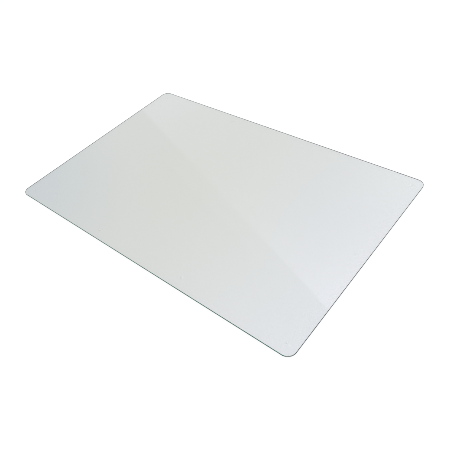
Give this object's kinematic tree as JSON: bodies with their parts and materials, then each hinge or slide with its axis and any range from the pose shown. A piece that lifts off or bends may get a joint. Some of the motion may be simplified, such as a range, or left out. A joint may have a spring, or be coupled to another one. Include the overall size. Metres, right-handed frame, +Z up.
{
  "type": "chair mat",
  "caption": "Flat clear toughened glass chair mat, rectangular with rounded corners and polished edges, raised just off a hard floor on small clear bumpers.",
  "frame": {"origin": "middle of the mat's footprint, on the floor that the bumpers stand on", "axes": "+X along the long side, +Y along the short side towards the rear, +Z up out of the surface that the chair rolls on"},
  "size_m": [1.524, 1.016, 0.0097],
  "materials": {
    "glass": "polished",
    "clear_adhesive": "satin",
    "clear_polyurethane": "gloss"
  },
  "bodies": {
    "root": {"glass_sheet": "glass", "adhesive_front_left": "clear_adhesive", "adhesive_front_centre_left": "clear_adhesive", "adhesive_front_centre_right": "clear_adhesive", "adhesive_front_right": "clear_adhesive", "adhesive_middle_left": "clear_adhesive", "adhesive_middle_centre_left": "clear_adhesive", "adhesive_middle_centre_right": "clear_adhesive", "adhesive_middle_right": "clear_adhesive", "adhesive_rear_left": "clear_adhesive", "adhesive_rear_centre_left": "clear_adhesive", "adhesive_rear_centre_right": "clear_adhesive", "adhesive_rear_right": "clear_adhesive", "bumper_front_left": "clear_polyurethane", "bumper_front_centre_left": "clear_polyurethane", "bumper_front_centre_right": "clear_polyurethane", "bumper_front_right": "clear_polyurethane", "bumper_middle_left": "clear_polyurethane", "bumper_middle_centre_left": "clear_polyurethane", "bumper_middle_centre_right": "clear_polyurethane", "bumper_middle_right": "clear_polyurethane", "bumper_rear_left": "clear_polyurethane", "bumper_rear_centre_left": "clear_polyurethane", "bumper_rear_centre_right": "clear_polyurethane", "bumper_rear_right": "clear_polyurethane"}
  },
  "joints": []
}
